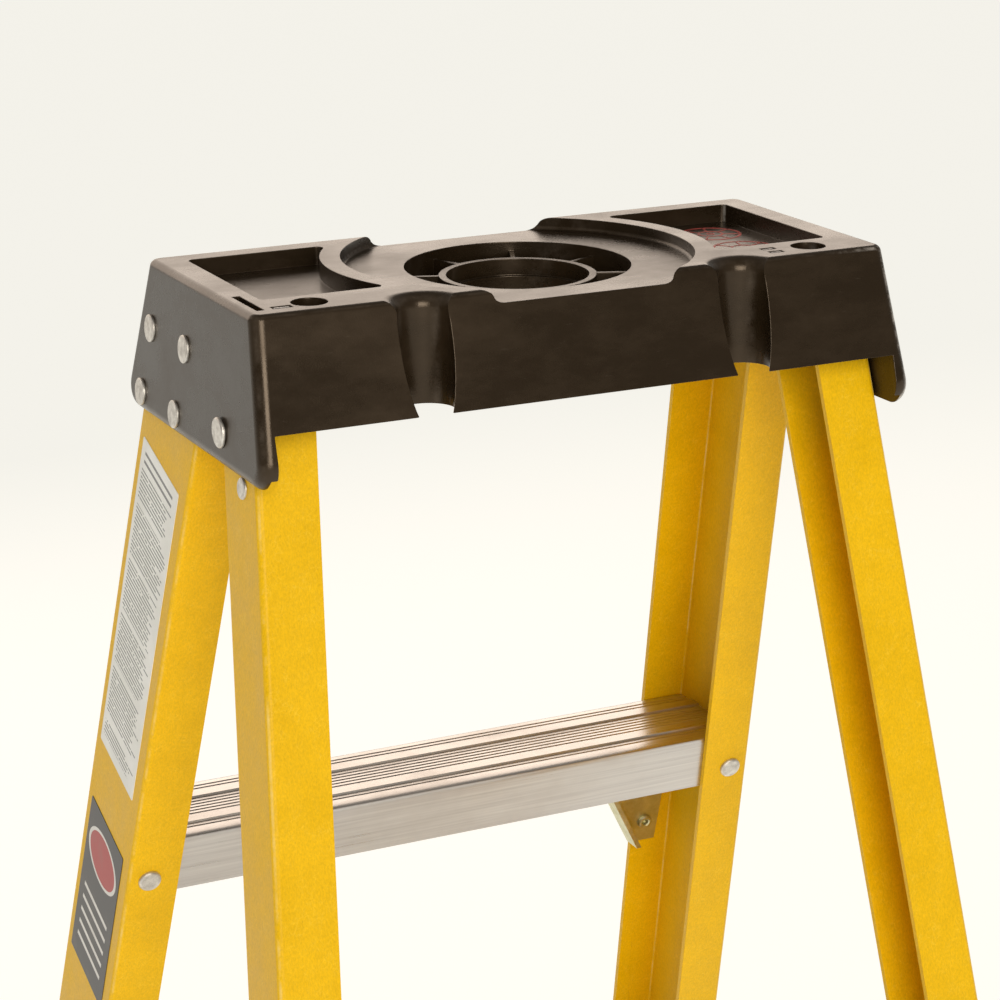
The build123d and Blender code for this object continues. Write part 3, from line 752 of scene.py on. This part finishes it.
# %% Finish: yellow fibreglass
fibreglass, t, sh = finish_named("yellow_fibreglass", rough=0.42)
v = use_group(t, veil, Scale=420.0)
s = use_group(t, streaks, Stretch=(1.0, 1.0, 0.02), Scale=500.0)
w = use_group(t, wear, Amount=0.5, Scale=45.0, Start=0.12)
body = mixed(t, ramp(t, v.outputs["Cloud"], 0.35, 0.68), (0.80, 0.465, 0.0), (0.88, 0.515, 0.0))
body = mixed(t, math(t, "MULTIPLY", v.outputs["Threads"], 0.40), body, (0.99, 0.66, 0.05))
body = mixed(t, math(t, "MULTIPLY", v.outputs["Speck"], 0.16), body, (0.42, 0.21, 0.01))
body = mixed(t, ramp(t, s.outputs["Lines"], 0.35, 0.75, 0.0, 0.12), body, (0.95, 0.60, 0.02))
c = t.nodes.new("ShaderNodeTexCoord")
grit = noise(t, stretched(t, c.outputs["Object"], (1.0, 1.0, 0.45)), 1300.0, 3.0, 0.7)
grit = ramp(t, grit, 0.32, 0.68, 0.86, 1.06)
body = mixed(t, 1.0, body, grit, "MULTIPLY")
body = mixed(t, w.outputs["Mask"], body, (0.98, 0.80, 0.36))
t.links.new(body, sh.inputs["Base Color"])
sh.inputs["Specular IOR Level"].default_value = 0.20
t.links.new(ramp(t, v.outputs["Cloud"], 0.3, 0.7, 0.34, 0.50), sh.inputs["Roughness"])
high = math(t, "ADD", math(t, "MULTIPLY", v.outputs["Threads"], 0.4),
            math(t, "MULTIPLY", s.outputs["Lines"], 0.5))
bumped(t, sh, high, 0.00008, 0.7)
print("finish made:", fibreglass.name)

# %% [markdown]
# Black-brown moulded plastic: dark and half glossy. Handling leaves pale
# scuffs on the rim and dusty smears on the flats, and the mould leaves a
# very fine grain.

# %% Finish: moulded cap plastic
cap_plastic, t, sh = finish_named("cap_plastic", rough=0.36)
w = use_group(t, wear, Amount=0.22, Scale=90.0, Start=0.14)
scuff = use_group(t, wear, Amount=0.9, Scale=120.0, Start=0.10)
coord = t.nodes.new("ShaderNodeTexCoord")
smear = noise(t, stretched(t, coord.outputs["Object"], (1.0, 1.6, 2.2)), 16.0, 6.0, 0.68)
grain = noise(t, coord.outputs["Object"], 1500.0, 2.0, 0.5)
scratch = noise(t, stretched(t, coord.outputs["Object"], (14.0, 160.0, 60.0)), 9.0, 3.0, 0.7)
place = t.nodes.new("ShaderNodeSeparateXYZ")
t.links.new(coord.outputs["Object"], place.inputs[0])
far_end = ramp(t, place.outputs[0], -0.125, -0.150)
rubbed = math(t, "MULTIPLY", scuff.outputs["Mask"], far_end)
base = mixed(t, ramp(t, smear, 0.42, 0.72), (0.0140, 0.0085, 0.0038), (0.025, 0.0160, 0.0085))
base = mixed(t, ramp(t, scratch, 0.66, 0.78, 0.0, 0.18), base, (0.10, 0.085, 0.070))
base = mixed(t, w.outputs["Mask"], base, (0.16, 0.13, 0.105))
base = mixed(t, rubbed, base, (0.50, 0.46, 0.42))
t.links.new(base, sh.inputs["Base Color"])
t.links.new(ramp(t, smear, 0.35, 0.7, 0.22, 0.36), sh.inputs["Roughness"])
sh.inputs["Specular Tint"].default_value = (1.0, 0.80, 0.62, 1.0)
bumped(t, sh, math(t, "ADD", grain, math(t, "MULTIPLY", scratch, 0.6)), 0.00006, 0.7)
print("finish made:", cap_plastic.name)

# %% [markdown]
# Glossy catches: small separate mouldings, darker and smoother than the cap.
# The roughness is low and follows a fine mottle, so that they glint a little
# unevenly where the light catches them.

# %% Finish: glossy catches
catch_plastic, t, sh = finish_named("catch_plastic", rough=0.16)
c = t.nodes.new("ShaderNodeTexCoord")
mottle = noise(t, c.outputs["Object"], 300.0, 3.0, 0.6)
tone = mixed(t, mottle, (0.014, 0.013, 0.016), (0.035, 0.034, 0.042))
t.links.new(tone, sh.inputs["Base Color"])
t.links.new(ramp(t, mottle, 0.3, 0.7, 0.10, 0.24), sh.inputs["Roughness"])
print("finish made:", catch_plastic.name)

# %% [markdown]
# Step aluminium: an extrusion, so all its lines run along the step. Its base
# colour is painted a little warm, a painted reflection of the yellow rails,
# and it has dull scuffs where shoes have been.

# %% Finish: step aluminium
step_metal, t, sh = finish_named("step_aluminium", metallic=1.0, rough=0.3)
s = use_group(t, streaks, Stretch=(0.015, 1.0, 1.0), Scale=700.0)
w = use_group(t, wear, Amount=0.4, Scale=80.0, Start=0.15)
# Painted reflection: both base tones are tinted warm to stand in for the yellow rails mirrored in
# the metal.
base = mixed(t, ramp(t, s.outputs["Lines"], 0.3, 0.7), (0.52, 0.485, 0.46), (0.66, 0.625, 0.59))
base = mixed(t, ramp(t, s.outputs["Smudge"], 0.5, 0.75, 0.0, 0.30), base, (0.46, 0.40, 0.35))
base = mixed(t, w.outputs["Mask"], base, (0.95, 0.94, 0.92))
t.links.new(base, sh.inputs["Base Color"])
rough = math(t, "ADD", ramp(t, s.outputs["Lines"], 0.3, 0.7, 0.26, 0.34),
             ramp(t, s.outputs["Smudge"], 0.45, 0.75, 0.0, 0.10))
t.links.new(rough, sh.inputs["Roughness"])
bumped(t, sh, s.outputs["Lines"], 0.00003, 0.5)
print("finish made:", step_metal.name)

# %% [markdown]
# Small hardware: the rivets are dull aluminium, the braces and the spreader
# are steel with a thin yellowish zinc coat, and the boots are grey steel. All
# three are worked metal with blotches and fine pits, so one function makes
# them, and only the colours, the gloss and the size of the blotches differ.

# %% Finish: rivet aluminium, zinc plate and boot steel


def worked_metal(name, dark, light, low, high, scale, pits=0.00008):
    m, t, sh = finish_named(name, metallic=1.0)
    c = t.nodes.new("ShaderNodeTexCoord")
    w = use_group(t, wear, Amount=0.5, Scale=150.0, Start=0.10)
    blot = noise(t, c.outputs["Object"], scale, 4.0, 0.65)
    fine = noise(t, c.outputs["Object"], scale * 9.0, 3.0, 0.6)
    tone = mixed(t, ramp(t, blot, 0.35, 0.66), dark, light)
    tone = mixed(t, w.outputs["Mask"], tone, (0.93, 0.92, 0.90))
    t.links.new(tone, sh.inputs["Base Color"])
    t.links.new(ramp(t, fine, 0.3, 0.7, low, high), sh.inputs["Roughness"])
    bumped(t, sh, fine, pits, 0.6)
    return m


rivet_metal = worked_metal("rivet_aluminium", (0.50, 0.47, 0.43), (0.78, 0.75, 0.70),
                           0.38, 0.58, 260.0, 0.00015)
zinc_metal = worked_metal("zinc_plate", (0.53, 0.50, 0.27), (0.68, 0.65, 0.42), 0.32, 0.50, 110.0)
boot_metal = worked_metal("boot_steel", (0.36, 0.36, 0.355), (0.60, 0.60, 0.59), 0.34, 0.55, 50.0)
print("finishes made:", [m.name for m in (rivet_metal, zinc_metal, boot_metal)])

# %% [markdown]
# Rubber for the foot pads: nearly black, dull, with grey dust in patches and
# a coarse moulded grain.

# %% Finish: rubber
rubber, t, sh = finish_named("foot_rubber", rough=0.8)
c = t.nodes.new("ShaderNodeTexCoord")
dust = noise(t, c.outputs["Object"], 60.0, 5.0, 0.7)
t.links.new(mixed(t, ramp(t, dust, 0.48, 0.75), (0.018, 0.018, 0.018), (0.11, 0.105, 0.095)),
            sh.inputs["Base Color"])
t.links.new(ramp(t, dust, 0.3, 0.7, 0.68, 0.92), sh.inputs["Roughness"])
bumped(t, sh, noise(t, c.outputs["Object"], 900.0, 3.0, 0.6), 0.00025, 0.8)
print("finish made:", rubber.name)

# %% [markdown]
# Printed film: the long plate is covered with fine lines, like small print
# seen from far away, and stays without any letters. Distances across and
# down the plate come from dot products with the rail's own directions. Each
# row has a number of its own, and noise read at that number gives every row
# other gaps between its words and another length.

# %% Finish: the long printed plate


def along(tree, vector, direction, origin):
    d = tree.nodes.new("ShaderNodeVectorMath")
    d.operation = "DOT_PRODUCT"
    tree.links.new(vector, d.inputs[0])
    d.inputs[1].default_value = direction
    return math(tree, "SUBTRACT", d.outputs["Value"], origin.dot(direction))


def within(tree, value, low, high):
    return math(tree, "MULTIPLY", math(tree, "GREATER_THAN", value, low),
                math(tree, "LESS_THAN", value, high))


long_print, t, sh = finish_named("long_plate_print", rough=0.42)
c = t.nodes.new("ShaderNodeTexCoord")
u = along(t, c.outputs["Object"], ACROSS.normalized(), plate_corner(LONG_DROP))
d = along(t, c.outputs["Object"], DOWN.normalized(), plate_corner(LONG_DROP))
row = math(t, "DIVIDE", d, 2.1 * MM)
in_row = within(t, math(t, "FRACT", row), 0.30, 0.68)
number = math(t, "FLOOR", row)
mix_uv = t.nodes.new("ShaderNodeCombineXYZ")
t.links.new(math(t, "MULTIPLY", u, 420.0), mix_uv.inputs[0])
t.links.new(math(t, "MULTIPLY", number, 7.31), mix_uv.inputs[1])
words = math(t, "GREATER_THAN", noise(t, mix_uv.outputs[0], 1.0, 1.0, 0.5), 0.36)
short = t.nodes.new("ShaderNodeCombineXYZ")
t.links.new(math(t, "MULTIPLY", number, 3.77), short.inputs[1])
line_end = ramp(t, noise(t, short.outputs[0], 1.0, 0.0, 0.5), 0.3, 0.7, 36.0 * MM, 52.0 * MM)
inside = math(t, "MULTIPLY", within(t, u, 3.5 * MM, 48.8 * MM),
              math(t, "LESS_THAN", u, line_end))
inside = math(t, "MULTIPLY", inside, within(t, d, 14.0 * MM, 169.0 * MM))
gap = math(t, "GREATER_THAN", math(t, "FRACT", math(t, "DIVIDE", d, 31.2 * MM)), 0.11)
ink = math(t, "MULTIPLY", math(t, "MULTIPLY", in_row, words), math(t, "MULTIPLY", inside, gap))
heading = within(t, math(t, "FRACT", math(t, "DIVIDE", d, 4.4 * MM)), 0.3, 0.66)
head_area = math(t, "MULTIPLY", within(t, d, 4.4 * MM, 13.2 * MM),
                 within(t, u, 5.0 * MM, 46.0 * MM))
heading = math(t, "MULTIPLY", heading, head_area)
ink = math(t, "MAXIMUM", ink, heading)
paper = mixed(t, ramp(t, noise(t, c.outputs["Object"], 40.0, 4.0, 0.6), 0.4, 0.7),
              (0.80, 0.80, 0.77), (0.90, 0.90, 0.88))
tone = mixed(t, math(t, "MULTIPLY", ink, 0.82), paper, (0.05, 0.05, 0.055))
t.links.new(tone, sh.inputs["Base Color"])
bumped(t, sh, noise(t, c.outputs["Object"], 700.0, 2.0, 0.5), 0.00003, 0.5)
print("finish made:", long_print.name)

# %% [markdown]
# The short plate is dark, with a plain red oval in a pale rim and a few pale
# bars below it in place of words. The oval is a circle whose distances across
# and down are measured in two different units.

# %% Finish: the short printed plate
short_print, t, sh = finish_named("short_plate_print", rough=0.38)
c = t.nodes.new("ShaderNodeTexCoord")
u = along(t, c.outputs["Object"], ACROSS.normalized(), plate_corner(SHORT_DROP))
d = along(t, c.outputs["Object"], DOWN.normalized(), plate_corner(SHORT_DROP))
du = math(t, "DIVIDE", math(t, "SUBTRACT", u, 26.0 * MM), 20.0 * MM)
dd = math(t, "DIVIDE", math(t, "SUBTRACT", d, 22.0 * MM), 12.0 * MM)
away = math(t, "SQRT", math(t, "ADD", math(t, "MULTIPLY", du, du), math(t, "MULTIPLY", dd, dd)))
oval = math(t, "LESS_THAN", away, 1.0)
rim = within(t, away, 1.0, 1.13)
bars = within(t, math(t, "FRACT", math(t, "DIVIDE", d, 8.0 * MM)), 0.2, 0.5)
bar_area = math(t, "MULTIPLY", within(t, d, 46.0 * MM, 88.0 * MM),
                within(t, u, 7.0 * MM, 45.0 * MM))
bars = math(t, "MULTIPLY", bars, bar_area)
face = mixed(t, oval, (0.030, 0.026, 0.026), (0.42, 0.018, 0.015))
face = mixed(t, math(t, "MAXIMUM", rim, bars), face, (0.72, 0.70, 0.67))
smut = ramp(t, noise(t, c.outputs["Object"], 55.0, 4.0, 0.6), 0.5, 0.8, 0.0, 0.3)
t.links.new(mixed(t, smut, face, (0.16, 0.14, 0.12)), sh.inputs["Base Color"])
bumped(t, sh, noise(t, c.outputs["Object"], 700.0, 2.0, 0.5), 0.00003, 0.5)
print("finish made:", short_print.name)

# %% [markdown]
# Two plain finishes are left. The red ink is two reds mixed by noise, so that
# it looks stamped by hand. The floor is pale and glows a little, so that it
# runs into the backdrop without a line.

# %% Finish: red ink and floor
red_ink, t, sh = finish_named("red_tray_ink", rough=0.5)
c = t.nodes.new("ShaderNodeTexCoord")
t.links.new(mixed(t, ramp(t, noise(t, c.outputs["Object"], 260.0, 4.0, 0.7), 0.42, 0.66),
                  (0.55, 0.085, 0.070), (0.30, 0.040, 0.034)), sh.inputs["Base Color"])

pale_floor, t, sh = finish_named("pale_floor", rough=0.9)
sh.inputs["Base Color"].default_value = (0.36, 0.36, 0.34, 1.0)
sh.inputs["Emission Color"].default_value = (1.0, 0.985, 0.92, 1.0)
sh.inputs["Emission Strength"].default_value = 0.80
print("finishes made:", [m.name for m in (red_ink, pale_floor)])

# %% [markdown]
# Last, each piece is given the finish of its slot in the parts list, so that
# a scene can repaint all the yellow rails at once.

# %% Give every piece its finish
LOOK = {"fibreglass": fibreglass, "cap_plastic": cap_plastic, "tread_aluminium": step_metal,
        "rivet_aluminium": rivet_metal, "zinc_steel": zinc_metal, "boot_steel": boot_metal,
        "foot_rubber": rubber}
slot_of = {s["node"]: s["material_slot"] for s in frame["record"]["subparts"]}


def coat(piece, material, slot_name):
    piece.data.materials.clear()
    piece.data.materials.append(material)


for node, piece in finished.items():
    coat(piece, LOOK[slot_of[node]], slot_of[node])
coat(cap_rivets, rivet_metal, "rivet_aluminium")
for part in (low_set, high_set):
    coat(part, zinc_metal, "zinc_steel")
coat(plate_long, long_print, "label_white")
coat(plate_short, short_print, "label_dark")
coat(marks, red_ink, "label_dark")
coat(catches, catch_plastic, "cap_plastic")
floor.data.materials.append(pale_floor)
print("pieces with a finish:", len(finished) + 7)
